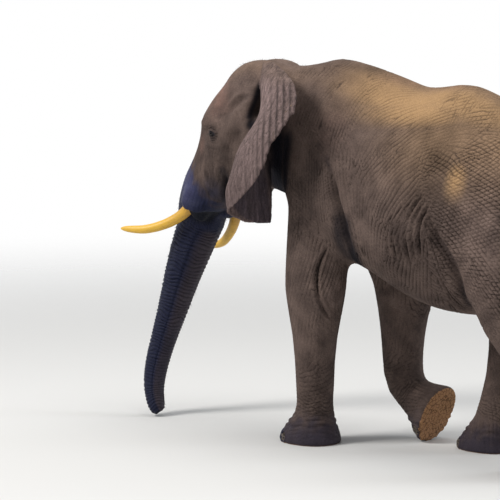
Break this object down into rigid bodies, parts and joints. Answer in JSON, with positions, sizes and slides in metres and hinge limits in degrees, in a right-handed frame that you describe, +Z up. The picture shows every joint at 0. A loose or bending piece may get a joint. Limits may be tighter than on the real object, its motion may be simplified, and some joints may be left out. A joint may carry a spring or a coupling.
{
  "type": "african bush elephant",
  "caption": "Adult bull elephant walking, trunk hanging, ears spread, right forefoot coming off the ground; a still life-size model for display.",
  "frame": {"origin": "on the ground, under the middle of the model's bounding box", "axes": "+Z up; the animal faces -X and its left side faces -Y"},
  "size_m": [4.5084, 1.8722, 3.1064],
  "materials": {
    "skin": "dry wrinkled grey-brown hide, dusted with earth on the head and back",
    "wet_skin": "damp charcoal hide, faintly glossy, closely creased",
    "ivory": "polished ivory, cream to honey, stained near the lip",
    "horn": "dull worn horn of the toenails",
    "eye": "wet dark brown eye",
    "tail_hair": "stiff black bristle"
  },
  "bodies": {
    "root": {"ear_left": "skin", "ear_right": "skin", "eye_left": "eye", "eye_right": "eye", "forefoot_left": "wet_skin", "forefoot_right": "wet_skin", "foreleg_left": "skin", "foreleg_right": "skin", "head": "skin", "hindfoot_left": "wet_skin", "hindfoot_right": "wet_skin", "hindleg_left_shank": "skin", "hindleg_left_thigh": "skin", "hindleg_right_shank": "skin", "hindleg_right_thigh": "skin", "jaw": "wet_skin", "nail_forefoot_left_1": "horn", "nail_forefoot_left_2": "horn", "nail_forefoot_left_3": "horn", "nail_forefoot_left_4": "horn", "nail_forefoot_right_1": "horn", "nail_forefoot_right_2": "horn", "nail_forefoot_right_3": "horn", "nail_forefoot_right_4": "horn", "nail_hindfoot_left_1": "horn", "nail_hindfoot_left_2": "horn", "nail_hindfoot_left_3": "horn", "nail_hindfoot_right_1": "horn", "nail_hindfoot_right_2": "horn", "nail_hindfoot_right_3": "horn", "neck": "skin", "tail": "skin", "tail_tuft": "tail_hair", "torso": "skin", "trunk_lower_middle": "wet_skin", "trunk_tip": "wet_skin", "trunk_upper": "wet_skin", "trunk_upper_middle": "wet_skin", "tusk_left": "ivory", "tusk_right": "ivory"}
  },
  "joints": []
}
